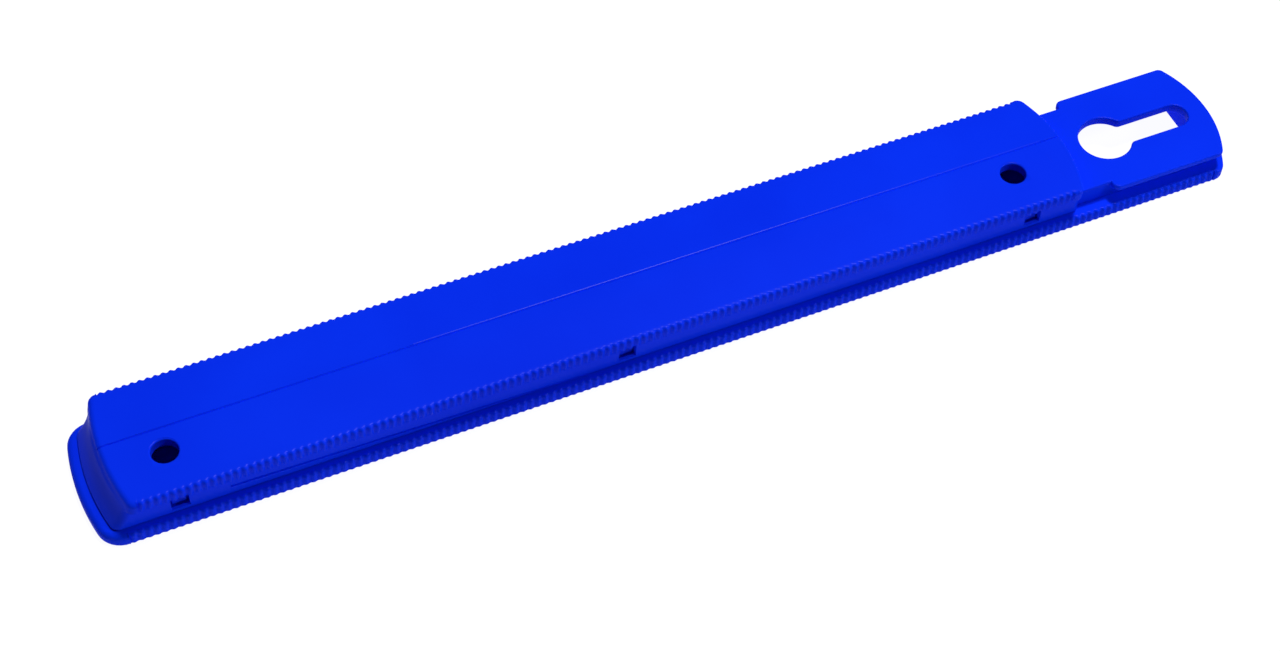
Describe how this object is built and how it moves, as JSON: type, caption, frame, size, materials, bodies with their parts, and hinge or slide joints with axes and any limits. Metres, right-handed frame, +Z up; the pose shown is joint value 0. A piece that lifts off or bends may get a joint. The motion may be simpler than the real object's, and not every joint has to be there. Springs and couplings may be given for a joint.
{
  "type": "bag clip",
  "caption": "Long bag clip in moulded plastic: a channel bar presses onto a railed bar with ribbed edges and a keyhole hanging tab.",
  "frame": {"origin": "middle of the clip's bounding box in plan, on its flat underside", "axes": "+X along the clip towards the hanging tab, +Y towards the side without the round holes, +Z up out of the upper bar's top"},
  "size_m": [0.2676, 0.0308, 0.0123],
  "materials": {
    "blue_plastic": "fine satin moulded surface"
  },
  "bodies": {
    "lower_bar": {"lower_bar": "blue_plastic"},
    "upper_bar": {"upper_bar": "blue_plastic"}
  },
  "joints": [
    {"name": "upper_bar_lift", "type": "slide", "parent": "lower_bar", "child": "upper_bar", "axis": [0, 0, 1], "range_m": [0, 0.025]}
  ]
}
